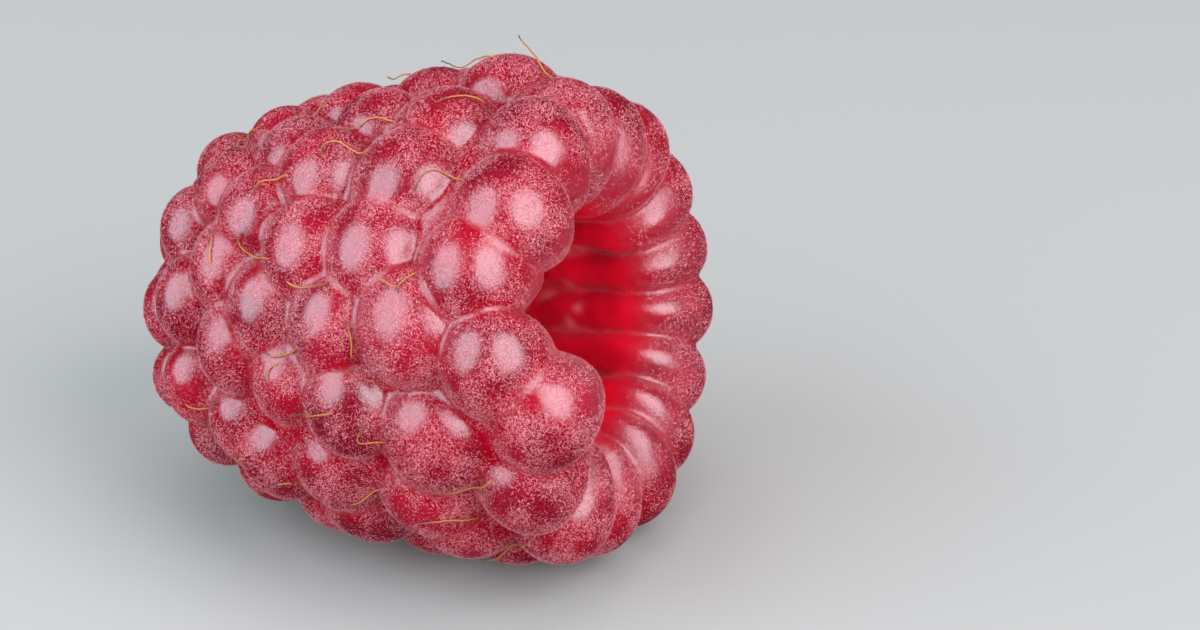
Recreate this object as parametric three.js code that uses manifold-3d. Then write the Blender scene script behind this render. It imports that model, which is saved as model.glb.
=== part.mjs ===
// A picked raspberry lying on its side: a hollow blunt cone of fused drupelets, open where
// the stalk came out. Millimetres, +Z up, closed tip toward -X, open end toward +X.
import * as THREE from "three";
import { mergeVertices } from "three/addons/utils/BufferGeometryUtils.js";
import Module from "manifold-3d";

const wasm = await Module();
wasm.setup();

// How the fruit lies: the open end is raised, and the fruit is turned about its own axis.
const PITCH = 11.4;
const ROLL = 0.0;
const MID = 11.5;
const FLAT_DEPTH = 0.3;

// Each drupelet is an egg with its wide end outward.
const EGG_SIDES = 8;
const EGG_BANDS = 6;
const EGG_WIDEN_ACROSS = 0.3;
const EGG_WIDEN_ALONG = 0.05;
const DOME = 1.9;

// The drupelets stand in rings. Along is the distance of the ring's centre from the tip, out
// its distance from the axis, sag how far it dips toward the tip beside the fuller side. Deep,
// wide and long are the half sizes of a drupelet. Lean tips it from straight out to the tip.
// The last ring is the inner ends of the rim's drupelets, long ridges down the hollow's wall.
const RINGS = [
  { count: 17, along: 20.1, sag: -0.3, out: 8.8, start: -77, deep: 2.85, wide: 2.1, long: 2.35, lean: -4 },
  { count: 17, along: 17.0, sag: 1.3, out: 9.0, start: -68, deep: 2.7, wide: 2.2, long: 2.55, lean: 3 },
  { count: 17, along: 13.6, sag: 2.3, out: 8.75, start: -69, deep: 2.6, wide: 2.02, long: 2.3, lean: 7 },
  { count: 15, along: 10.5, sag: 2.0, out: 8.15, start: -89, deep: 2.6, wide: 1.95, long: 2.15, lean: 12 },
  { count: 14, along: 7.7, sag: 1.3, out: 7.45, start: -79, deep: 2.5, wide: 1.85, long: 2.0, lean: 20 },
  { count: 12, along: 5.0, sag: 0.8, out: 6.25, start: -64, deep: 2.5, wide: 1.75, long: 1.8, lean: 33 },
  { count: 9, along: 3.2, sag: 0.3, out: 4.3, start: -68, deep: 2.5, wide: 1.65, long: 1.7, lean: 52 },
  { count: 4, along: 2.1, sag: 0.0, out: 1.6, start: -50, deep: 2.45, wide: 1.5, long: 1.5, lean: 76 },
  { count: 17, along: 17.0, sag: -0.3, out: 5.8, start: -77, deep: 1.4, wide: 1.25, long: 4.4, lean: 0 },
];

// Angles run round the fruit from its top. The drupelets are set wider on the fuller side, and
// the rings dip toward the tip on both flanks of it. The whole fruit curves up at the tip.
const FULL_SIDE = -75;
const SPREAD = 0.1;
const DIPS = [{ side: -28, width: 28, depth: 1 }, { side: -122, width: 19, depth: 0.9 }];
const CURVE = 0.7;
const CURVE_END = 20;

// Small irregularity of every drupelet: shift along, turn round the axis, size, standing out.
const SEED = 7;
const JITTER = { along: 0.15, turn: 1, size: 0.03, proud: 0.1 };

// Drupelets that grew out of line, by ring and place: those round the notch in the rim, and
// those underneath that the fruit rests on.
const ODD = {
  "0-0": { along: 0.35, size: -0.02, proud: 0.35 },
  "0-16": { along: -0.8, turn: 2, size: 0.03 },
  "0-15": { turn: -3, size: 0.04 },
  "0-1": { along: 1.75, turn: 6.5, size: 0.03, proud: -0.45 },
  "0-2": { along: 0.3, turn: 5, size: 0.02 },
  "1-0": { along: 0.1, turn: 1, size: 0.05 },
  "1-1": { along: 0.5, turn: -8, size: 0.04 },
  "1-2": { turn: -6 },
  "1-16": { along: -1.2, turn: -3, size: -0.05 },
  "1-15": { along: -0.3, turn: -4, size: 0.01 },
  "1-14": { along: -0.4, turn: -6, size: 0.03 },
  "2-1": { along: 0.3 },
  "2-3": { along: -0.5, turn: 2, size: 0.1 },
  "2-5": { proud: -0.15 },
  "2-16": { along: -0.5, turn: -2 },
  "3-14": { along: -0.5, turn: -2 },
  "3-0": { turn: 2, size: -0.05 },
  "3-1": { along: -0.3, turn: -2, size: 0.05 },
  "2-2": { size: 0.06 },
  "4-3": { along: 0.2, size: 0.04 },
  "4-4": { along: 0.2, size: 0.04 },
  "4-5": { along: 0.2, size: 0.04 },
  "1-13": { size: 0.02, proud: 0.5 },
  "2-12": { proud: 0.35 },
  "0-12": { proud: -0.5 },
  "0-13": { proud: -0.25 },
  "0-11": { proud: -0.15 },
  "2-4": { along: -0.3, size: 0.07, proud: 0.1 },
  "6-1": { proud: 0.3 },
  "7-1": { proud: 0.4 },
  "6-8": { proud: -0.2 },
  "8-1": { along: 0.9, turn: 6 },
  "8-15": { turn: -3 },
  "8-16": { along: -0.4, turn: 2 },
  "8-2": { along: 0.2, turn: 5 },
};

// The flesh between the drupelets, as a cup: distance from the tip and radius, outside then in.
const CUP_SIDES = 22;
const CUP_OUTER = [[1.8, 0], [2.1, 2.8], [4.2, 5.9], [7.5, 8.1], [12, 9.3], [20.6, 9.5]];
const CUP_INNER = [[20.6, 7.2], [19.2, 6], [16, 5.5], [12.5, 4.9], [9, 3.8], [6.3, 2], [5.6, 0]];

const radians = THREE.MathUtils.degToRad;
const AXIS = new THREE.Vector3(1, 0, 0);
const UP = new THREE.Vector3(0, 0, 1);
const AWAY = new THREE.Vector3(0, 1, 0);

function noise(a, b) {
  const wave = Math.sin(a * 127.1 + b * 311.7 + SEED) * 43758.5453;
  return (wave - Math.floor(wave)) * 2 - 1;
}

function toSolid(geometry) {
  geometry.deleteAttribute("normal");
  geometry.deleteAttribute("uv");
  const merged = mergeVertices(geometry, 1e-5);
  return new wasm.Manifold(new wasm.Mesh({
    numProp: 3,
    vertProperties: new Float32Array(merged.attributes.position.array),
    triVerts: new Uint32Array(merged.index.array),
  }));
}

// Where a drupelet stands, and which way it faces, in the fruit's own frame.
function placeDrupelet(ringNumber, place) {
  const ring = RINGS[ringNumber];
  const odd = { along: 0, turn: 0, size: 0, proud: 0, ...ODD[`${ringNumber}-${place}`] };
  const even = ring.start - (360 * place) / ring.count;
  const warp = (angle) => THREE.MathUtils.radToDeg(SPREAD * Math.sin(radians(angle - FULL_SIDE)));
  const key = ringNumber * 31 + place;
  const angle = even + warp(even) - warp(ring.start) + odd.turn + JITTER.turn * noise(key, 1);
  const dip = DIPS.reduce((sum, { side, width, depth }) => {
    const away = THREE.MathUtils.euclideanModulo(angle - side + 180, 360) - 180;
    return sum + depth * Math.exp(-((away / width) ** 2));
  }, 0);
  const shift = odd.along - ring.sag * dip + JITTER.along * noise(key, 2);
  const size = 1 + odd.size + JITTER.size * noise(key, 3);
  const proud = odd.proud + JITTER.proud * noise(key, 4);
  const spacing = 1 + SPREAD * Math.cos(radians(even - FULL_SIDE));

  const lean = radians(ring.lean);
  const radial = UP.clone().multiplyScalar(Math.cos(radians(angle)));
  radial.addScaledVector(AWAY, Math.sin(radians(angle)));
  const across = UP.clone().multiplyScalar(-Math.sin(radians(angle)));
  across.addScaledVector(AWAY, Math.cos(radians(angle)));
  const outward = radial.clone().multiplyScalar(Math.cos(lean)).addScaledVector(AXIS, -Math.sin(lean));
  const lengthwise = AXIS.clone().multiplyScalar(Math.cos(lean)).addScaledVector(radial, Math.sin(lean));

  const centre = AXIS.clone().multiplyScalar(ring.along + shift);
  centre.addScaledVector(radial, ring.out + 0.9 * Math.tan(lean) * shift);
  centre.addScaledVector(outward, DOME + proud - ring.deep);
  centre.addScaledVector(UP, CURVE * (1 - (ring.along + shift) / CURVE_END));
  return {
    centre, outward, across, lengthwise,
    deep: ring.deep * Math.sqrt(size),
    wide: ring.wide * size * spacing,
    long: ring.long * size,
  };
}

function makeDrupelet(egg) {
  const geometry = new THREE.SphereGeometry(1, EGG_SIDES, EGG_BANDS);
  const points = geometry.attributes.position;
  for (let i = 0; i < points.count; i += 1) {
    const depth = points.getY(i);
    const point = egg.centre.clone();
    point.addScaledVector(egg.outward, egg.deep * depth);
    point.addScaledVector(egg.across, egg.wide * points.getX(i) * (1 + EGG_WIDEN_ACROSS * depth));
    point.addScaledVector(egg.lengthwise, egg.long * points.getZ(i) * (1 + EGG_WIDEN_ALONG * depth));
    points.setXYZ(i, point.x, point.y, point.z);
  }
  return toSolid(geometry);
}

function makeCup() {
  const profile = [...CUP_OUTER, ...CUP_INNER].map(([along, radius]) => new THREE.Vector2(radius, along));
  const geometry = new THREE.LatheGeometry(profile, CUP_SIDES);
  geometry.rotateZ(-Math.PI / 2);
  return toSolid(geometry);
}

function toGeometry(solid) {
  const mesh = solid.getMesh();
  const geometry = new THREE.BufferGeometry();
  geometry.setAttribute("position", new THREE.BufferAttribute(new Float32Array(mesh.vertProperties), 3));
  geometry.setIndex(new THREE.BufferAttribute(new Uint32Array(mesh.triVerts), 1));
  return geometry;
}

let fruit = makeCup();
RINGS.forEach((ring, ringNumber) => {
  for (let place = 0; place < ring.count; place += 1) {
    fruit = fruit.add(makeDrupelet(placeDrupelet(ringNumber, place)));
  }
});

// Lay the fruit down, then press small flats into the drupelets that it rests on.
const lay = new THREE.Matrix4().makeRotationY(-radians(PITCH));
lay.multiply(new THREE.Matrix4().makeRotationX(radians(ROLL)));
lay.multiply(new THREE.Matrix4().makeTranslation(-MID, 0, 0));
const laid = toGeometry(fruit).applyMatrix4(lay);
laid.computeBoundingBox();
const box = laid.boundingBox;
const floorSize = 60;
const floor = new THREE.BoxGeometry(floorSize, floorSize, floorSize);
floor.translate(0, 0, box.min.z + FLAT_DEPTH - floorSize / 2);
const pieces = toSolid(laid).subtract(toSolid(floor)).decompose();
const body = pieces.reduce((best, piece) => (piece.volume() > best.volume() ? piece : best));

const bodyGeometry = toGeometry(body);
bodyGeometry.computeBoundingBox();
const centre = bodyGeometry.boundingBox.getCenter(new THREE.Vector3());
bodyGeometry.translate(-centre.x, -centre.y, -bodyGeometry.boundingBox.min.z);
bodyGeometry.computeVertexNormals();

const skin = new THREE.MeshStandardMaterial({ color: 0xb5304a, roughness: 0.42, metalness: 0 });
const drupelets = new THREE.Mesh(bodyGeometry, skin);
drupelets.name = "drupelets";

const raspberry = new THREE.Group();
raspberry.add(drupelets);

export default raspberry;
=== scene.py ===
import math
import bpy
import numpy as np
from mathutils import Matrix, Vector


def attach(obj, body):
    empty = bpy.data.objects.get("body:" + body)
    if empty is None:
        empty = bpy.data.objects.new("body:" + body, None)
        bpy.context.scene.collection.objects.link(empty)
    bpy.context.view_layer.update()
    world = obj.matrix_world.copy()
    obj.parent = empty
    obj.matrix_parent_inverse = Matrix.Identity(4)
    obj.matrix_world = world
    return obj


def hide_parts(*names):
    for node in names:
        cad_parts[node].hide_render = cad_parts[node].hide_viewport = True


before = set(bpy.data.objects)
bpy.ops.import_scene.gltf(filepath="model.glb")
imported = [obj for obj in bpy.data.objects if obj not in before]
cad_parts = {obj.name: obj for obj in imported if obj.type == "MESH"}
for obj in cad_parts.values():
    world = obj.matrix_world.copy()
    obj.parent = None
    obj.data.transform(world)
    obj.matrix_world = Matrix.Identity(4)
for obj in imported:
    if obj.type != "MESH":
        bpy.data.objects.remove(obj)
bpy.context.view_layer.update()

MM = 0.001
SEED = 7
rng = np.random.default_rng(SEED)

# The name of every mesh map.
MAP = "OFBake"

# ---------------------------------------------------------------- the fruit's shape, in mm
# How the fruit lies: the open end is raised, and PLACE is the point of its axis at MID from the
# tip, copied from a print of what part.mjs works out. Angles run round the axis from the top.
PITCH = 11.4
MID = 11.5
PLACE = np.array([-0.5717, -0.0010, 9.3019])

# Each drupelet is an egg with its wide end outward. It stands DOME out of its ring.
DOME = 1.9
WIDEN_ACROSS, WIDEN_ALONG = 0.3, 0.05
EGG_STEPS = 3

# The drupelets are set wider on the fuller side, and the rings dip toward the tip on both flanks
# of it: side, width and depth of each dip. The whole fruit curves up at the tip. A drupelet that
# is shifted along a leaning ring moves in or out with it.
FULL_SIDE, SPREAD = -75, 0.1
DIPS = ((-28, 28, 1.0), (-122, 19, 0.9))
CURVE, CURVE_END = 0.7, 20
LEAN_FOLLOW = 0.9

# Count, distance of the ring from the tip, how far it dips, its distance from the axis, angle of
# its first drupelet, half sizes deep, wide and long, and lean toward the tip. The last ring is
# the inner ends of the rim's drupelets, long ridges down the hollow's wall.
RINGS = (
    (17, 20.1, -0.3, 8.8, -77, 2.85, 2.1, 2.35, -4),
    (17, 17.0, 1.3, 9.0, -68, 2.7, 2.2, 2.55, 3),
    (17, 13.6, 2.3, 8.75, -69, 2.6, 2.02, 2.3, 7),
    (15, 10.5, 2.0, 8.15, -89, 2.6, 1.95, 2.15, 12),
    (14, 7.7, 1.3, 7.45, -79, 2.5, 1.85, 2.0, 20),
    (12, 5.0, 0.8, 6.25, -64, 2.5, 1.75, 1.8, 33),
    (9, 3.2, 0.3, 4.3, -68, 2.5, 1.65, 1.7, 52),
    (4, 2.1, 0.0, 1.6, -50, 2.45, 1.5, 1.5, 76),
    (17, 17.0, -0.3, 5.8, -77, 1.4, 1.25, 4.4, 0),
)
RIM = 0
RIDGES = len(RINGS) - 1
RIDGE_BLEND = 0.4

# Small irregularity of every drupelet, and the ones that grew out of line, by ring and place:
# shift along the fruit, turn round it, growth, and how far it stands out.
JITTER = (0.15, 1, 0.03, 0.1)
ODD = {
    (0, 0): (0.35, 0, -0.02, 0.35),
    (0, 16): (-0.8, 2, 0.03, 0),
    (0, 15): (0, -3, 0.04, 0),
    (0, 1): (1.75, 6.5, 0.03, -0.45),
    (0, 2): (0.3, 5, 0.02, 0),
    (1, 0): (0.1, 1, 0.05, 0),
    (1, 1): (0.5, -8, 0.04, 0),
    (1, 2): (0, -6, 0, 0),
    (1, 16): (-1.2, -3, -0.05, 0),
    (1, 15): (-0.3, -4, 0.01, 0),
    (1, 14): (-0.4, -6, 0.03, 0),
    (2, 1): (0.3, 0, 0, 0),
    (2, 3): (-0.5, 2, 0.1, 0),
    (2, 5): (0, 0, 0, -0.15),
    (2, 16): (-0.5, -2, 0, 0),
    (3, 14): (-0.5, -2, 0, 0),
    (3, 0): (0, 2, -0.05, 0),
    (3, 1): (-0.3, -2, 0.05, 0),
    (2, 2): (0, 0, 0.06, 0),
    (4, 3): (0.2, 0, 0.04, 0),
    (4, 4): (0.2, 0, 0.04, 0),
    (4, 5): (0.2, 0, 0.04, 0),
    (1, 13): (0, 0, 0.02, 0.5),
    (2, 12): (0, 0, 0, 0.35),
    (0, 12): (0, 0, 0, -0.5),
    (0, 13): (0, 0, 0, -0.25),
    (0, 11): (0, 0, 0, -0.15),
    (2, 4): (-0.3, 0, 0.07, 0.1),
    (6, 1): (0, 0, 0, 0.3),
    (7, 1): (0, 0, 0, 0.4),
    (6, 8): (0, 0, 0, -0.2),
    (8, 1): (0.9, 6, 0, 0),
    (8, 15): (0, -3, 0, 0),
    (8, 16): (-0.4, 2, 0, 0),
    (8, 2): (0.2, 5, 0, 0),
}

# The cup of flesh between the drupelets: distance from the tip and radius. Its walls slope, so
# the distance to them is a little less than the difference in radius.
CUP_OUTER = np.array([(1.8, 0), (2.1, 2.8), (4.2, 5.9), (7.5, 8.1), (12, 9.3), (20.6, 9.5)])
CUP_INNER = np.array([(5.6, 0), (6.3, 2), (9, 3.8), (12.5, 4.9), (16, 5.5), (19.2, 6), (20.6, 7.2)])
OUTER_SLOPE, INNER_SLOPE = 0.8, 0.9

# How softly drupelets and flesh run together, how far each is felt, and what counts as far off.
BLEND = 0.12
REACH, REACH_MORE = 1.05, 0.7
CUP_FELT = 4
FAR = 9.0
TINY = 1e-30

TIP_TO_OPEN = np.array([math.cos(math.radians(PITCH)), 0, math.sin(math.radians(PITCH))])
TOPWARD = np.array([-math.sin(math.radians(PITCH)), 0, math.cos(math.radians(PITCH))])
AWAY = np.array([0.0, 1.0, 0.0])
TIP = PLACE - TIP_TO_OPEN * MID


def noise(a, b):
    """A repeatable irregular value, -1 to 1, for each pair of numbers."""
    wave = math.sin(a * 127.1 + b * 311.7 + SEED) * 43758.5453
    return (wave - math.floor(wave)) * 2 - 1


def radial_at(angle):
    return TOPWARD * math.cos(math.radians(angle)) + AWAY * math.sin(math.radians(angle))


def bell(values, width):
    return np.exp(-((values / width) ** 2))


def fade(values, start, width):
    """0 at start, 1 from start + width on. A negative width fades the other way."""
    return np.clip((values - start) / width, 0, 1)


class Drupelet:
    """One drupelet as an egg, and its ridge down the hollow if it stands in the rim."""

    def __init__(self, ring, place):
        count, along, sag, out, start, deep, wide, long, lean = RINGS[ring]
        shift, turn, grow, proud = ODD.get((ring, place), (0, 0, 0, 0))
        key = ring * 31 + place
        even = start - 360 * place / count
        warp = [math.degrees(SPREAD * math.sin(math.radians(a - FULL_SIDE))) for a in (even, start)]
        angle = even + warp[0] - warp[1] + turn + JITTER[1] * noise(key, 1)
        dip = sum(
            depth * math.exp(-(((angle - side + 180) % 360 - 180) / width) ** 2)
            for side, width, depth in DIPS
        )
        shift += JITTER[0] * noise(key, 2) - sag * dip
        size = 1 + grow + JITTER[2] * noise(key, 3)
        proud += JITTER[3] * noise(key, 4)
        tilt = math.radians(lean)
        radial = radial_at(angle)
        self.ring = ring
        self.outward = radial * math.cos(tilt) - TIP_TO_OPEN * math.sin(tilt)
        self.lengthwise = TIP_TO_OPEN * math.cos(tilt) + radial * math.sin(tilt)
        self.across = radial_at(angle + 90)
        self.deep = deep * math.sqrt(size)
        self.wide = wide * size * (1 + SPREAD * math.cos(math.radians(even - FULL_SIDE)))
        self.long = long * size
        self.centre = (
            TIP
            + TIP_TO_OPEN * (along + shift)
            + radial * (out + LEAN_FOLLOW * math.tan(tilt) * shift)
            + self.outward * (DOME + proud - deep)
            + TOPWARD * CURVE * (1 - (along + shift) / CURVE_END)
        )
        reach = max(self.deep, self.long) * REACH + REACH_MORE
        self.low, self.high = self.centre - reach, self.centre + reach
        self.ridge = Drupelet(RIDGES, place) if ring == RIM else None
        if self.ridge:
            self.low = np.minimum(self.low, self.ridge.low)
            self.high = np.maximum(self.high, self.ridge.high)

    def near(self, points):
        return np.where(((points > self.low) & (points < self.high)).all(1))[0]

    def depth_of(self, points):
        """About how far each point is outside the drupelet, and its height in it, -1 to 1."""
        depth, level = self.egg_depth(points)
        if self.ridge:
            below = self.ridge.egg_depth(points)[0]
            share = 1 / (1 + np.exp(np.clip((below - depth) / RIDGE_BLEND, -30, 30)))
            level = level * (1 - share) - share
            low = np.minimum(depth, below)
            depth = low - RIDGE_BLEND * np.log1p(np.exp(-np.abs(depth - below) / RIDGE_BLEND))
        return depth, level

    def egg_depth(self, points):
        """The same for the egg alone, whose widening is met in a few steps."""
        away = points - self.centre
        high = away @ self.outward / self.deep
        side = away @ self.across / self.wide
        end = away @ self.lengthwise / self.long
        scale = np.sqrt(high**2 + side**2 + end**2) + 1e-9
        for _ in range(EGG_STEPS):
            level = np.clip(high / scale, -1, 1)
            scale = np.sqrt(
                high**2
                + (side / (1 + WIDEN_ACROSS * level)) ** 2
                + (end / (1 + WIDEN_ALONG * level)) ** 2
            ) + 1e-9
        return np.linalg.norm(away, axis=-1) * (1 - 1 / scale), high / scale


DRUPELETS = [Drupelet(ring, place) for ring in range(RIDGES) for place in range(RINGS[ring][0])]


def cup_weight(points):
    """How strongly each point belongs to the cup of flesh."""
    away = points - TIP
    along = away @ TIP_TO_OPEN
    radius = np.hypot(away @ TOPWARD, away @ AWAY)
    outer = (radius - np.interp(along, CUP_OUTER[:, 0], CUP_OUTER[:, 1])) * OUTER_SLOPE
    outer = np.maximum(outer, CUP_OUTER[0, 0] - along)
    inner = (np.interp(along, CUP_INNER[:, 0], CUP_INNER[:, 1]) - radius) * INNER_SLOPE
    inner = np.where(along < CUP_INNER[0, 0], along - CUP_INNER[0, 0], inner)
    depth = np.maximum(np.maximum(outer, inner), along - CUP_OUTER[-1, 0])
    return np.exp(-np.clip(depth, -CUP_FELT, CUP_FELT) / BLEND)


def joined_depth(weight, height):
    """The depth that summed weights stand for, cut off level where the fruit rests."""
    return np.maximum(-BLEND * np.log(weight + TINY), -height)


def fruit_depth(points):
    """About how far each point is outside the fruit: drupelets and flesh, softly joined."""
    weight = cup_weight(points)
    for egg in DRUPELETS:
        near = egg.near(points)
        if len(near):
            weight[near] += np.exp(-egg.depth_of(points[near])[0] / BLEND)
    return joined_depth(weight, points[:, 2])


def fruit_slope(points, step=0.02):
    """The depth, its direction of growth, which points out of the fruit, and its steepness."""
    here = fruit_depth(points)
    slope = np.stack(
        [fruit_depth(points + step * axis) - here for axis in np.eye(3)], axis=1
    ) / step
    length = np.linalg.norm(slope, axis=1, keepdims=True)
    return here, slope / np.maximum(length, 1e-6), length[:, 0]


def nearest_drupelets(points):
    """For each point its drupelet, how far off that is, how much farther the next, its height."""
    first = np.full(len(points), FAR)
    second = np.full(len(points), FAR)
    which = np.zeros(len(points), int)
    height = np.zeros(len(points))
    for number, egg in enumerate(DRUPELETS):
        near = egg.near(points)
        if not len(near):
            continue
        depth, level = egg.depth_of(points[near])
        closer = depth < first[near]
        second[near] = np.where(closer, first[near], np.minimum(second[near], depth))
        first[near] = np.where(closer, depth, first[near])
        which[near] = np.where(closer, number, which[near])
        height[near] = np.where(closer, level, height[near])
    return which, first, second - first, height


# ---------------------------------------------------------------- the skin's mesh
# Room round the drupelets' centres, and how the points are slid onto the skin at last.
MARGIN = 3.2
SETTLE_STEPS = 3
LEAST_SLOPE, LONGEST_MOVE = 0.3, 0.15


def window(values, start, size):
    """The block of a grid that begins at start and has that size."""
    return values[tuple(slice(s, s + n) for s, n in zip(start, size))]


def depth_grid(cell):
    """The fruit's depth on a grid of cells, and the grid's low corner."""
    centres = np.array([egg.centre for egg in DRUPELETS])
    low, high = centres.min(0) - MARGIN, centres.max(0) + MARGIN
    low[2] = -2 * cell
    shape = np.ceil((high - low) / cell).astype(int) + 1
    axes = [low[i] + cell * np.arange(shape[i]) for i in range(3)]
    grid = np.stack(np.meshgrid(*axes, indexing="ij"), axis=-1)
    weight = cup_weight(grid.reshape(-1, 3)).reshape(shape)
    for egg in DRUPELETS:
        first = np.maximum(np.floor((egg.low - low) / cell).astype(int), 0)
        last = np.minimum(np.ceil((egg.high - low) / cell).astype(int), shape)
        box = tuple(slice(a, b) for a, b in zip(first, last))
        depth = egg.depth_of(grid[box].reshape(-1, 3))[0]
        weight[box] += np.exp(-depth / BLEND).reshape(weight[box].shape)
    return joined_depth(weight, grid[..., 2]), low


def cell_points(depths, low, cell):
    """A point in each cell that the skin crosses, amid its crossings, and the cells' numbers."""
    corners = [(i, j, k) for i in (0, 1) for j in (0, 1) for k in (0, 1)]
    cells = tuple(n - 1 for n in depths.shape)
    count = sum(window(depths < 0, corner, cells).astype(np.int8) for corner in corners)
    active = (count > 0) & (count < len(corners))
    spot = np.zeros((active.sum(), 3))
    hits = np.zeros(active.sum())
    for axis in range(3):
        for start in (corner for corner in corners if corner[axis] == 0):
            end = tuple(v + (i == axis) for i, v in enumerate(start))
            a, b = (window(depths, corner, cells)[active] for corner in (start, end))
            crossed = (a < 0) != (b < 0)
            share = np.where(crossed, a / np.where(crossed, a - b, 1), 0)
            for i in range(3):
                spot[:, i] += crossed * (start[i] + share * (i == axis))
            hits += crossed
    numbers = np.full(cells, -1)
    numbers[active] = np.arange(active.sum())
    return low + cell * (np.argwhere(active) + spot / hits[:, None]), numbers


def cell_faces(inside, numbers):
    """A face across each grid edge that the skin crosses, between the four cells round it."""
    faces = []
    steps = np.eye(3, dtype=int)
    for axis, (one, two) in enumerate(((1, 2), (2, 0), (0, 1))):
        size = [n - 2 for n in inside.shape]
        size[axis] += 1
        base = 1 - steps[axis]
        here, there = window(inside, base, size), window(inside, base + steps[axis], size)
        cells_round = [
            window(numbers, base - back_one * steps[one] - back_two * steps[two], size)
            for back_one, back_two in ((1, 1), (0, 1), (0, 0), (1, 0))
        ]
        quads = np.stack(cells_round, axis=-1)
        faces.append(quads[here & ~there])
        faces.append(quads[~here & there][:, ::-1])
    return np.concatenate(faces)


def surface_of(cell):
    """The fruit's skin as points and faces, one point in each grid cell that the skin crosses."""
    depths, low = depth_grid(cell)
    points, numbers = cell_points(depths, low, cell)
    faces = cell_faces(depths < 0, numbers)
    for _ in range(SETTLE_STEPS):
        depth, normal, length = fruit_slope(points)
        move = np.clip(depth / np.maximum(length, LEAST_SLOPE), -LONGEST_MOVE, LONGEST_MOVE)
        points = points - normal * move[:, None]
    points[:, 2] = np.maximum(points[:, 2], 0)
    return points, faces


def make_object(name, points, faces, material, places=None, smooth=True):
    """A mesh object from points in mm. Places are its corners' places on the material's map."""
    mesh = bpy.data.meshes.new(name)
    mesh.from_pydata((points * MM).tolist(), [], faces)
    if places is not None:
        layer = mesh.uv_layers.new(name=MAP)
        layer.data.foreach_set("uv", np.array(places, dtype=np.float32).ravel())
    if smooth:
        mesh.polygons.foreach_set("use_smooth", np.ones(len(mesh.polygons), bool))
    mesh.update()
    mesh.materials.append(material)
    piece = bpy.data.objects.new(name, mesh)
    bpy.context.scene.collection.objects.link(piece)
    return piece


# ---------------------------------------------------------------- materials
class Tree:
    """A short way to write a material's nodes."""

    def __init__(self, name):
        self.material = bpy.data.materials.new(name)
        self.material.use_nodes = True
        self.nodes = self.material.node_tree.nodes
        self.shader = self.nodes["Principled BSDF"]

    def add(self, kind, **settings):
        node = self.nodes.new(kind)
        for key, value in settings.items():
            setattr(node, key, value)
        return node

    def link(self, source, target):
        self.material.node_tree.links.new(source, target)

    def set_shader(self, values):
        for name, value in values.items():
            self.shader.inputs[name].default_value = value

    def attribute(self, name):
        return self.add("ShaderNodeAttribute", attribute_name=name).outputs["Fac"]

    def ramp(self, source, stops):
        node = self.add("ShaderNodeValToRGB")
        self.link(source, node.inputs["Fac"])
        elements = node.color_ramp.elements
        while len(elements) < len(stops):
            elements.new(0.5)
        for element, (place, colour) in zip(elements, stops):
            element.position = place
            element.color = (*colour, 1) if isinstance(colour, tuple) else (colour,) * 3 + (1,)
        return node.outputs["Color"]

    def math(self, operation, a, b, clamp=False):
        node = self.add("ShaderNodeMath", operation=operation, use_clamp=clamp)
        for socket, value in zip(node.inputs, (a, b)):
            if isinstance(value, (int, float)):
                socket.default_value = value
            else:
                self.link(value, socket)
        return node.outputs[0]

    def mix(self, factor, a, b, blend="MIX"):
        node = self.add("ShaderNodeMix", data_type="RGBA", blend_type=blend)
        for socket, value in zip((node.inputs[0], node.inputs[6], node.inputs[7]), (factor, a, b)):
            if isinstance(value, (int, float)):
                socket.default_value = value
            elif isinstance(value, tuple):
                socket.default_value = (*value, 1)
            else:
                self.link(value, socket)
        return node.outputs[2]

    def tint(self, base, mask, colour, strength):
        """Base with so much of a colour where the mask is 1."""
        return self.mix(self.math("MULTIPLY", mask, strength), base, colour)

    def noise(self, scale, detail, rough, where=None):
        if where is None:
            where = self.add("ShaderNodeTexCoord").outputs["Object"]
        node = self.add("ShaderNodeTexNoise")
        self.link(where, node.inputs["Vector"])
        node.inputs["Scale"].default_value = scale
        node.inputs["Detail"].default_value = detail
        node.inputs["Roughness"].default_value = rough
        return node.outputs["Fac"]

    def patches(self, scale, detail, rough, start, full):
        """Patches of noise: 0 up to start, 1 from full on."""
        return self.ramp(self.noise(scale, detail, rough), [(start, 0.0), (full, 1.0)])


# Colours of the skin as linear red, green and blue. Drupelets differ in tone between the first
# two; the flesh is the hollow's wall. The flesh's colours are partly its own red and partly a
# painted glow of light shining through the thin wall, which makes them far lighter.
TONE_DARK, TONE_LIGHT = (0.23, 0.0010, 0.012), (0.31, 0.002, 0.017)
FLESH_AND_GLOW_DARK, FLESH_AND_GLOW_LIGHT = (0.46, 0.001, 0.016), (0.70, 0.003, 0.024)
CREASE = (0.35, 0.0008, 0.013)
CREASE_DEEP = 0.85
# The webs' colour is partly the flesh's own red and partly a painted glow, brighter than the skin.
WEB_RED_AND_GLOW = (0.35, 0.0003, 0.010)

# Colours laid over those, each with its strength.
MOTTLE = ((0.30, 0.004, 0.021), 0.4)
SHADE = ((0.12, 0.0005, 0.009), 0.65)
DUST = ((0.52, 0.09, 0.14), 0.2)
LIP = ((0.46, 0.050, 0.085), 0.3)
WALL_SEAM = ((0.70, 0.18, 0.22), 0.36)
PEG_END = ((0.80, 0.22, 0.24), 0.5)

# Patterns on the skin: waves to the metre, detail, roughness, and where they start and are full.
MOTTLES = (900, 4, 0.55, 0.35, 0.7)
SHADES = (310, 2, 0.55, 0.44, 0.62)
DUST_SPECKS = (11000, 3, 0.6, 0.5, 0.58)
FLESH_CLOUDS = (420, 3, 0.55, 0.38, 0.62)
FINE_BUMPS, SOFT_BUMPS = (8000, 4, 0.7), (1300, 3, 0.5)
FINE_HEIGHT, SOFT_HEIGHT = 0.25, 0.8
BUMP = {"Strength": 0.45, "Distance": 0.0001}

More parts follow.
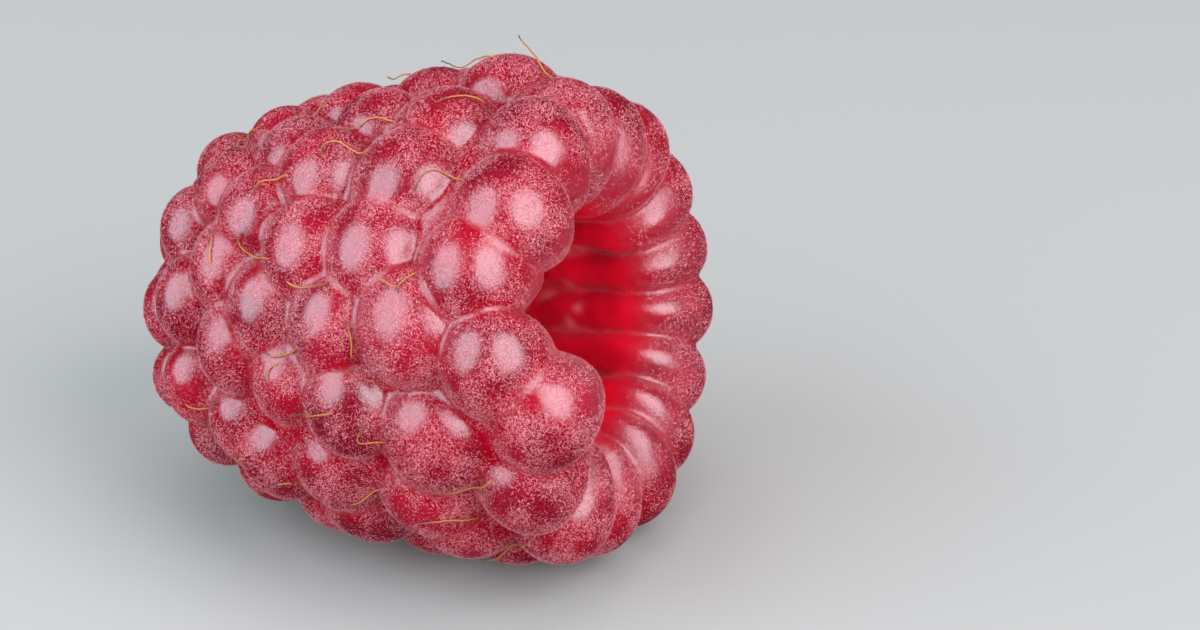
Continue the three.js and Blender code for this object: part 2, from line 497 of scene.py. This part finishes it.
# Roughness of the skin, and what is added to it in the hollow, webs, mouth and grooves.
SKIN_ROUGH = 0.17
ROUGHER = (0.08, -0.06, 0.2, 0.36)
SKIN_SHADER = {
    "Subsurface Weight": 0.7,
    "Subsurface Radius": (1.0, 0.08, 0.08),
    "Subsurface Scale": 0.0024,
    "IOR": 2.0,
    "Specular Tint": (0.9, 0.9, 1.0, 1),
    "Sheen Weight": 0.1,
    "Sheen Roughness": 0.35,
    "Sheen Tint": (1.0, 0.62, 0.70, 1),
}


def skin_material():
    """Translucent crimson skin, dustier outside, deep red in the creases, with a painted glow in
    the hollow.
    """
    tree = Tree("raspberry_skin")
    names = ("crease", "inner", "tone", "seam", "web", "mouth", "peg")
    crease, inner, tone, seam, web, mouth, peg = (tree.attribute(name) for name in names)
    outside = tree.math("SUBTRACT", 1.0, inner, clamp=True)

    base = tree.mix(tone, TONE_DARK, TONE_LIGHT)
    base = tree.tint(base, tree.patches(*MOTTLES), *MOTTLE)
    base = tree.tint(base, tree.patches(*SHADES), *SHADE)
    base = tree.tint(base, tree.math("MULTIPLY", tree.patches(*DUST_SPECKS), outside), *DUST)
    # The hollow's flesh in random clouds: its own red, lightened by a painted glow.
    flesh_and_glow = tree.mix(tree.patches(*FLESH_CLOUDS), FLESH_AND_GLOW_DARK, FLESH_AND_GLOW_LIGHT)
    deep = tree.mix(inner, CREASE, flesh_and_glow)
    creased = tree.math("MULTIPLY", crease, CREASE_DEEP)
    base = tree.mix(tree.math("MAXIMUM", creased, inner), base, deep)
    # The webs take the flesh's red with a painted glow.
    base = tree.mix(web, base, WEB_RED_AND_GLOW)
    base = tree.tint(base, mouth, *LIP)
    base = tree.tint(base, tree.math("MULTIPLY", seam, inner), *WALL_SEAM)
    base = tree.tint(base, peg, *PEG_END)
    tree.link(base, tree.shader.inputs["Base Color"])

    rough = SKIN_ROUGH
    groove = tree.math("MULTIPLY", seam, outside)
    for mask, more in zip((inner, web, mouth, groove), ROUGHER):
        rough = tree.math("ADD", tree.math("MULTIPLY", mask, more), rough)
    tree.link(rough, tree.shader.inputs["Roughness"])
    tree.set_shader(SKIN_SHADER)

    fine = tree.math("MULTIPLY", tree.noise(*FINE_BUMPS), FINE_HEIGHT)
    soft = tree.math("MULTIPLY", tree.noise(*SOFT_BUMPS), SOFT_HEIGHT)
    bump = tree.add("ShaderNodeBump")
    for name, value in BUMP.items():
        bump.inputs[name].default_value = value
    tree.link(tree.math("ADD", fine, soft), bump.inputs["Height"])
    tree.link(bump.outputs["Normal"], tree.shader.inputs["Normal"])
    return tree.material


# How the colour of a thread strays from its place along it: noise, its middle, and how far.
STRAY = (60, 2, 0.5)
STRAY_MIDDLE, STRAY_FAR = 0.5, 0.5


def thread_material(name, along_stops, across_stops, values):
    """For threads whose map runs along them: coloured from root to tip, varied by thread."""
    tree = Tree(name)
    where = tree.add("ShaderNodeUVMap", uv_map=MAP).outputs["UV"]
    split = tree.add("ShaderNodeSeparateXYZ")
    tree.link(where, split.inputs[0])
    stray = tree.math("SUBTRACT", tree.noise(*STRAY, where=where), STRAY_MIDDLE)
    stray = tree.math("MULTIPLY", stray, STRAY_FAR)
    colour = tree.ramp(tree.math("ADD", split.outputs["Y"], stray, clamp=True), along_stops)
    shade = tree.ramp(split.outputs["X"], across_stops)
    tree.link(tree.mix(1.0, colour, shade, "MULTIPLY"), tree.shader.inputs["Base Color"])
    tree.set_shader(values)
    return tree.material


# ---------------------------------------------------------------- the fused drupelets
CELL = 0.19

# Kinds of skin. Creases are the bands where drupelets meet and seams the lines within them, webs
# the flesh that shows between drupelets, the mouth the flared inside of the rim, and pegs the
# spots in the hollow where drupelets stood on the core. The hollow's own skin lies near the axis,
# is the drupelets' inner end, or faces the axis.
# A pair is where a kind begins and the width over which it is full, in mm, or in shares for
# levels and directions.
WALL_RADIUS, WALL_ALONG = (6.4, -0.9), (5.2, 0.4)
INNER_LEVEL, INNER_ALONG, INNER_RADIUS = (-0.5, -0.3), 5, 8.2
FACES_AXIS, FACING_ALONG, FACING_RADIUS = (0.1, 0.4), 7, 8.6
HOLLOW_ENDS = (22.0, -2.0)
MOUTH_ALONG, MOUTH_RADIUS = (19.2, 1.8), (8.6, -1.5)
MOUTH_FACING, MOUTH_LEAST, MOUTH_INWARD = 1.5, 0.4, 0.8
CREASE_WIDE, SEAM_WIDE, SEAM_OFF = 0.45, 0.16, 0.3
WEB_OFF, WEB_INNER = 0.25, 0.5
PEG = 0.22
LEAST_RADIUS = 0.1


def skin_masks(points):
    """How much each point belongs to each kind of skin, 0 to 1."""
    which, off, gap, level = nearest_drupelets(points)
    away = points - TIP
    along = away @ TIP_TO_OPEN
    radius = np.hypot(away @ TOPWARD, away @ AWAY)
    facing = fruit_slope(points)[1]
    from_axis = away - along[:, None] * TIP_TO_OPEN
    inward = -(facing * from_axis).sum(1) / np.maximum(radius, LEAST_RADIUS)

    inner = fade(radius, *WALL_RADIUS) * fade(along, *WALL_ALONG)
    inner_end = fade(level, *INNER_LEVEL) * (along > INNER_ALONG) * (radius < INNER_RADIUS)
    faces_axis = fade(inward, *FACES_AXIS) * (along > FACING_ALONG) * (radius < FACING_RADIUS)
    inner = np.maximum(np.maximum(inner, inner_end), faces_axis) * fade(along, *HOLLOW_ENDS)

    mouth = fade(along, *MOUTH_ALONG) * fade(radius, *MOUTH_RADIUS)
    mouth = mouth * np.clip((facing @ TIP_TO_OPEN) * MOUTH_FACING + MOUTH_LEAST, 0, 1)
    mouth *= np.clip(1 - MOUTH_INWARD * inward, 0, 1)

    peg = np.zeros(len(points))
    for egg in DRUPELETS:
        away = points - egg.centre
        out = away @ egg.outward
        aside = np.linalg.norm(away - out[:, None] * egg.outward, axis=1)
        peg = np.maximum(peg, bell(aside, PEG) * (out < 0) * (egg.ring > RIM))

    web = np.clip(off / WEB_OFF, 0, 1) * (inner < WEB_INNER)
    return {
        "crease": np.maximum(bell(gap, CREASE_WIDE), web),
        "web": web,
        "seam": bell(gap, SEAM_WIDE) * np.clip(1 - off / SEAM_OFF, 0, 1),
        "inner": inner,
        "tone": rng.random(len(DRUPELETS))[which],
        "mouth": mouth,
        "peg": peg * inner,
    }


points, faces = surface_of(CELL)
body = make_object("drupelet_skin", points, faces.tolist(), skin_material())
masks = skin_masks(points)
for name, values in masks.items():
    layer = body.data.attributes.new(name, "FLOAT", "POINT")
    layer.data.foreach_set("value", np.ascontiguousarray(values, dtype=np.float32))
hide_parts("drupelets")
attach(body, "root")


# ---------------------------------------------------------------- styles: the dry threads
# Root, middle and tip of each, as distance from the fruit's tip and angle round it, and how far
# its tip stands off the skin. The points were picked by eye in the photo. Another script, which
# isn't handed in, turned them into these distances and angles, and nine rows were then changed
# by hand.
STYLES = (
    (14.3, -9, 13.2, -9, 12.1, -15, 0.1),
    (14.9, -26, 12.6, -20, 12.0, -25, 0.1),
    (10.1, 3, 8.6, 4, 9.0, -6, 0.1),
    (10.9, -30, 9.4, -29, 9.0, -34, 0.1),
    (7.0, -6, 5.4, 0, 6.0, -12, 0.1),
    (11.1, -52, 8.8, -48, 8.7, -44, 0.1),
    (7.2, -52, 7.1, -48, 7.0, -42, 0.1),
    (11.4, -56, 12.2, -58, 13.6, -57, 0.1),
    (17.1, -58, 16.6, -57, 15.8, -54, 0.2),
    (17.8, -54, 17.4, -56, 17.2, -59, 0.1),
    (14.4, -76, 14.7, -70, 14.5, -66, 0.2),
    (12.4, -71, 10.9, -75, 10.0, -74, 0.1),
    (10.9, -77, 10.4, -78, 10.2, -81, 0.1),
    (4.5, -93, 5.5, -96, 6.5, -91, 0.2),
    (13.8, -87, 12.8, -88, 11.1, -91, 0.1),
    (15.8, -96, 14.6, -95, 15.1, -90, 0.3),
    (14.3, -113, 13.0, -117, 12.5, -116, 0.1),
    (9.5, -115, 9.2, -114, 8.8, -114, 0.1),
    (7.5, -108, 6.8, -111, 5.2, -122, 0.1),
    (17.4, 15, 15.7, 18, 14.3, 16, 0.5),
    (20.4, 13, 18.1, 22, 17.4, 23, 0.8),
    (18.0, 0, 17.2, -4, 16.5, -9, 0.1),
    (19.5, -33, 17.8, -27, 17.0, -34, 0.1),
    (12.6, 18, 12.3, 17, 11.6, 16, 0.6),
    (20.2, -106, 18.5, -112, 17.6, -107, 0.1),
    (17.9, -128, 17.3, -120, 16.0, -118, 0.1),
    (19.4, -138, 17.3, -148, 15.9, -150, 0.4),
)

# The rest grow at random on the other side: angle, distance of the root from the tip, turn round
# the fruit, length, how far the middle bows out, and the lifts of the tip to choose from.
MORE_STYLES = 42
MORE_ANGLE = (30, 205)
MORE_ALONG = (4.5, 19.5)
MORE_SWING = (-14, 14)
MORE_LONG = (1.6, 2.9)
MORE_BOW = (-9, 9)
MORE_LIFTS = [0.1, 0.1, 0.3]

# Each is a tube, half this thick, thinner to the tip and with a small head there. Its root is
# sunk into the skin, and it rises out of it over the first share of its length.
STYLE_STEPS, STYLE_SIDES = 26, 6
STYLE_THICK, STYLE_THINNER = 0.048, 0.45
HEAD_WIDER, HEAD_LONG = 0.25, 0.06
ROOT_SUNK, ROOT_SHARE = 0.2, 0.14
OFF_SKIN, OFF_GROUND = 1.2, 1.3
LIFT_POWER = 1.5
EASE = 11
MAP_USED = 0.9

# Distances from the axis at which the skin is looked for, and how far the axis' middle is from
# the tip.
SEARCH = (2.0, 13.5, 0.05)
AXIS_MIDDLE = 10


def skin_radius(along, angle):
    """How far the skin is from the fruit's axis at each place."""
    reach = np.arange(*SEARCH)
    spots = [TIP + TIP_TO_OPEN * a + radial_at(t) * r for a, t in zip(along, angle) for r in reach]
    inside = (fruit_depth(np.array(spots)) < 0).reshape(len(along), len(reach))
    return reach[len(reach) - 1 - np.argmax(inside[:, ::-1], axis=1)]


def style_path(row):
    """A bowed line through root, middle and tip that lies on the skin."""
    root, middle, tip = np.array(row[0:2]), np.array(row[2:4]), np.array(row[4:6])
    share = np.linspace(0, 1, STYLE_STEPS)[:, None]
    pull = 2 * middle - (root + tip) / 2
    spots = root * (1 - share) ** 2 + pull * 2 * share * (1 - share) + tip * share**2
    skin = skin_radius(spots[:, 0], spots[:, 1])
    padded = np.pad(skin, (EASE - 3) // 2, mode="edge")
    eased = np.convolve(padded, np.hanning(EASE)[1:-1] / np.hanning(EASE).sum(), "valid")
    share = share[:, 0]
    clear = np.maximum(skin, eased) + STYLE_THICK * OFF_SKIN + row[6] * share**LIFT_POWER
    risen = np.clip(share / ROOT_SHARE, 0, 1)
    height = (skin - ROOT_SUNK) * (1 - risen) + clear * risen
    height = np.maximum(height, skin - ROOT_SUNK)
    path = np.array([TIP + TIP_TO_OPEN * a + radial_at(t) * r for (a, t), r in zip(spots, height)])
    path[:, 2] = np.maximum(path[:, 2], STYLE_THICK * OFF_GROUND)
    return path


def tube(path, thick):
    """Points in rings round a path, faces that close it, and for each corner of those faces its
    place round the tube and along it."""
    heading = np.gradient(path, axis=0)
    heading /= np.linalg.norm(heading, axis=1, keepdims=True)
    side = np.cross(heading, path - TIP - TIP_TO_OPEN * AXIS_MIDDLE)
    side /= np.linalg.norm(side, axis=1, keepdims=True)
    other = np.cross(heading, side)
    n = STYLE_SIDES
    turn = np.arange(n) / n * 2 * np.pi
    rings = path[:, None] + thick[:, None, None] * (
        side[:, None] * np.cos(turn)[None, :, None] + other[:, None] * np.sin(turn)[None, :, None]
    )
    faces, corners = [], []
    last = len(path) - 1
    for i in range(last):
        for j in range(n):
            k = (j + 1) % n
            faces.append((i * n + j, i * n + k, (i + 1) * n + k, (i + 1) * n + j))
            corners += [(j, i), (j + 1, i), (j + 1, i + 1), (j, i + 1)]
    faces += [tuple(reversed(range(n))), tuple(last * n + j for j in range(n))]
    corners += [(j, end) for end in (0, last) for j in range(n)]
    return rings.reshape(-1, 3), faces, corners


def random_style():
    """A row like those of STYLES."""
    angle = rng.uniform(*MORE_ANGLE)
    along = rng.uniform(*MORE_ALONG)
    swing = rng.uniform(*MORE_SWING)
    long = rng.uniform(*MORE_LONG)
    bow = rng.uniform(*MORE_BOW)
    lift = rng.choice(MORE_LIFTS)
    middle = (along - long * 0.5, angle + swing / 2 + bow)
    return (along, angle, *middle, along - long, angle + swing, lift)


def make_styles(material):
    """All styles as one piece. Each has its own strip of the map, from root to tip."""
    rows = [*STYLES, *(random_style() for _ in range(MORE_STYLES))]
    share = np.linspace(0, 1, STYLE_STEPS)
    head = HEAD_WIDER * bell(share - 1, HEAD_LONG)
    thick = STYLE_THICK * (1 - STYLE_THINNER * share) * (1 + head)
    step = MAP_USED / len(rows) / STYLE_SIDES
    all_points, all_faces, places = [], [], []
    for number, row in enumerate(rows):
        spots, quads, corners = tube(style_path(row), thick)
        start = number * len(spots)
        left = number / len(rows)
        all_points.append(spots)
        all_faces += [tuple(start + v for v in face) for face in quads]
        places += [(left + j * step, i / (STYLE_STEPS - 1)) for j, i in corners]
    return make_object("styles", np.concatenate(all_points), all_faces, material, places)


# Colours from root to tip, and how light the styles are across the map, one by one.
STYLE_COLOURS = [
    (0.0, (0.48, 0.10, 0.05)),
    (0.25, (0.55, 0.21, 0.06)),
    (0.7, (0.44, 0.20, 0.065)),
    (0.93, (0.14, 0.09, 0.04)),
]
STYLE_SHADES = [(0.0, 1.0), (0.2, 0.75), (0.45, 0.95), (0.7, 0.65), (1.0, 0.9)]
STYLE_SHADER = {"Roughness": 0.45, "IOR": 1.45}

styles = make_styles(thread_material("dry_style", STYLE_COLOURS, STYLE_SHADES, STYLE_SHADER))
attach(styles, "root")


# ---------------------------------------------------------------- the fine down on the skin
HAIRS = 460000
HAIRS_A_PIECE = 156000
HAIR_LENGTH = (0.08, 0.18)
HAIR_WIDE = 0.028
HAIR_STAND = (0.1, 0.5)
HAIR_ROLL = (-0.7, 0.7)
HAIR_SUNK = 0.01
LOWEST_ROOT = 0.3

# The down thins out into the hollow and is a little thinner on the webs and at the mouth. Slow
# waves over the skin make it thicker in some places, within limits: their number, how closely
# they follow each other, their phases, and what their sum is divided by.
THIN_INNER, THIN_WEB, THIN_MOUTH = 1.5, 0.2, 0.2
WAVES, WAVE_CLOSE, WAVE_PHASES, WAVE_SUM = 8, 2.2, 6.28, 4
PATCHES_MEAN, PATCHES_SWING, PATCHES_LIMITS = 0.7, 0.8, (0.1, 1.5)

# Each hair has one of the map's strips, and its base and tip stand at these places across it.
STRIPS = 64
ACROSS = np.array([0.0, 0.012, 0.006])
FROM_ROOT = np.array([0.0, 0.0, 1.0])


def down_cover(points, masks):
    """How thick the down is at each point of the skin."""
    cover = np.clip(1 - THIN_INNER * masks["inner"], 0, 1)
    cover = cover * (1 - THIN_WEB * masks["web"]) * (1 - THIN_MOUTH * masks["mouth"])
    waves = rng.normal(size=(WAVES, 3)) * WAVE_CLOSE
    phases = rng.uniform(0, WAVE_PHASES, WAVES)
    patches = np.sin(points @ waves.T + phases).sum(1) / WAVE_SUM
    return cover * np.clip(PATCHES_MEAN + PATCHES_SWING * patches, *PATCHES_LIMITS)


def down_roots(count, points, faces, masks):
    """Places on the skin, at random by area and cover."""
    triangles = np.concatenate([faces[:, [0, 1, 2]], faces[:, [0, 2, 3]]])
    a, b, c = (points[triangles[:, i]] for i in range(3))
    cover = down_cover(points, masks)[triangles].mean(1)
    area = np.linalg.norm(np.cross(b - a, c - a), axis=1) * cover
    chosen = rng.choice(len(triangles), count, p=area / area.sum())
    u, v = rng.random(count), rng.random(count)
    over = u + v > 1
    u, v = np.where(over, 1 - u, u), np.where(over, 1 - v, v)
    roots = a[chosen] + (b - a)[chosen] * u[:, None] + (c - a)[chosen] * v[:, None]
    return roots[roots[:, 2] > LOWEST_ROOT]


def make_down(name, roots, normals, material):
    """Each hair is a narrow blade, rooted just under the skin and lying at a low angle."""
    count = len(roots)
    heading = rng.normal(size=(count, 3))
    heading -= normals * (heading * normals).sum(1, keepdims=True)
    heading /= np.linalg.norm(heading, axis=1, keepdims=True)
    side = np.cross(heading, normals)
    stand = rng.uniform(*HAIR_STAND, (count, 1))
    heading = heading * np.sqrt(1 - stand**2) + normals * stand
    roll = rng.uniform(*HAIR_ROLL, (count, 1))
    side = side * np.cos(roll) + np.cross(heading, side) * np.sin(roll)
    long = rng.uniform(*HAIR_LENGTH, (count, 1))
    base = roots - normals * HAIR_SUNK
    tip = base + heading * long
    wide = side * HAIR_WIDE / 2
    spots = np.stack([base - wide, base + wide, tip], axis=1).reshape(-1, 3)
    triangles = np.arange(count * 3).reshape(-1, 3).tolist()
    across = rng.integers(0, STRIPS, (count, 1)) / STRIPS + ACROSS
    places = np.stack([across, np.tile(FROM_ROOT, (count, 1))], axis=-1)
    return make_object(name, spots, triangles, material, places, smooth=False)


# Colours from root to tip, and how light the hairs are across the map, strip by strip.
DOWN_COLOURS = [(0.0, (0.40, 0.02, 0.05)), (0.4, (0.78, 0.18, 0.24)), (1.0, (0.94, 0.45, 0.51))]
DOWN_SHADES = [(0.0, 1.0), (0.3, 0.8), (0.6, 0.95), (1.0, 0.7)]
DOWN_SHADER = {"Roughness": 0.3, "IOR": 1.8}

down = thread_material("skin_down", DOWN_COLOURS, DOWN_SHADES, DOWN_SHADER)
roots = down_roots(HAIRS, points, faces, masks)
normals = fruit_slope(roots)[1]
order = np.argsort((roots - TIP) @ TIP_TO_OPEN)
for number, first in enumerate(range(0, len(roots), HAIRS_A_PIECE)):
    some = order[first : first + HAIRS_A_PIECE]
    piece = make_down(f"down_{number + 1}", roots[some], normals[some], down)
    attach(piece, "root")


# ---------------------------------------------------------------- floor, camera and light
# The floor's half side in mm. Lamps and camera in metres and degrees, the lens in mm.
FLOOR_HALF = 600
FLOOR_SHADER = {"Base Color": (0.375, 0.375, 0.373, 1), "Roughness": 0.8}

ELEVATION, AZIMUTH = 28, 24
DISTANCE = 200 * MM
ASIDE = 8.72 * MM
FOCAL, SENSOR = 136.2, 36
CLIP_START = 0.001

# Name, angles to the right of and above the camera's line, distance, width and height, power,
# colour, and whether the lamp shows in reflections.
LAMPS = (
    ("window_left", -56, 16, 0.28, (0.34, 0.37), 1.02, (0.78, 0.95, 1), True),
    ("window_right", 40, 14, 0.30, (0.31, 0.37), 1.25, (1, 0.98, 0.98), True),
    ("bounce", -5, -22, 0.30, (0.4, 0.12), 0.58, (1, 0.97, 0.97), False),
    ("overhead", 5, 72, 0.30, (0.3, 0.25), 0.42, (1, 0.98, 1), False),
)
LIT = Vector((0, 0, 0.01))
WORLD = {"Color": (0.92, 0.95, 1, 1), "Strength": 0.38}


def make_floor():
    tree = Tree("pale_floor")
    tree.set_shader(FLOOR_SHADER)
    corners = np.array([(-1, -1, 0), (1, -1, 0), (1, 1, 0), (-1, 1, 0)]) * FLOOR_HALF
    return make_object("floor", corners, [(0, 1, 2, 3)], tree.material, smooth=False)


def make_camera(back, right):
    data = bpy.data.cameras.new("camera")
    data.lens = FOCAL
    data.sensor_width = SENSOR
    data.clip_start = CLIP_START
    camera = bpy.data.objects.new("camera", data)
    camera.location = Vector((PLACE * MM).tolist()) + right * ASIDE + back * DISTANCE
    camera.rotation_euler = back.to_track_quat("Z", "Y").to_euler()
    bpy.context.scene.collection.objects.link(camera)
    return camera


def make_lamp(name, toward, distance, size, power, colour, mirrored):
    """A soft oval lamp that shines on the fruit from one direction."""
    data = bpy.data.lights.new(name, "AREA")
    data.shape = "ELLIPSE"
    data.size, data.size_y = size
    data.energy = power
    data.color = colour
    lamp = bpy.data.objects.new(name, data)
    lamp.location = LIT + toward * distance
    lamp.rotation_euler = (LIT - lamp.location).to_track_quat("-Z", "Y").to_euler()
    lamp.visible_glossy = mirrored
    bpy.context.scene.collection.objects.link(lamp)


floor = make_floor()
floor.visible_glossy = False

turn, rise = math.radians(AZIMUTH), math.radians(ELEVATION)
back = Vector((math.sin(turn) * math.cos(rise), -math.cos(turn) * math.cos(rise), math.sin(rise)))
right = Vector((math.cos(turn), math.sin(turn), 0))
up = back.cross(right)
camera = make_camera(back, right)
bpy.context.scene.camera = camera

for name, sideways, above, *rest in LAMPS:
    a, b = math.radians(sideways), math.radians(above)
    flat = back * math.cos(a) * math.cos(b) + right * math.sin(a) * math.cos(b)
    make_lamp(name, flat + up * math.sin(b), *rest)

world = bpy.data.worlds.new("studio")
bpy.context.scene.world = world
world.use_nodes = True
for name, value in WORLD.items():
    world.node_tree.nodes["Background"].inputs[name].default_value = value
world.cycles_visibility.glossy = False
bpy.context.scene.view_settings.view_transform = "Standard"
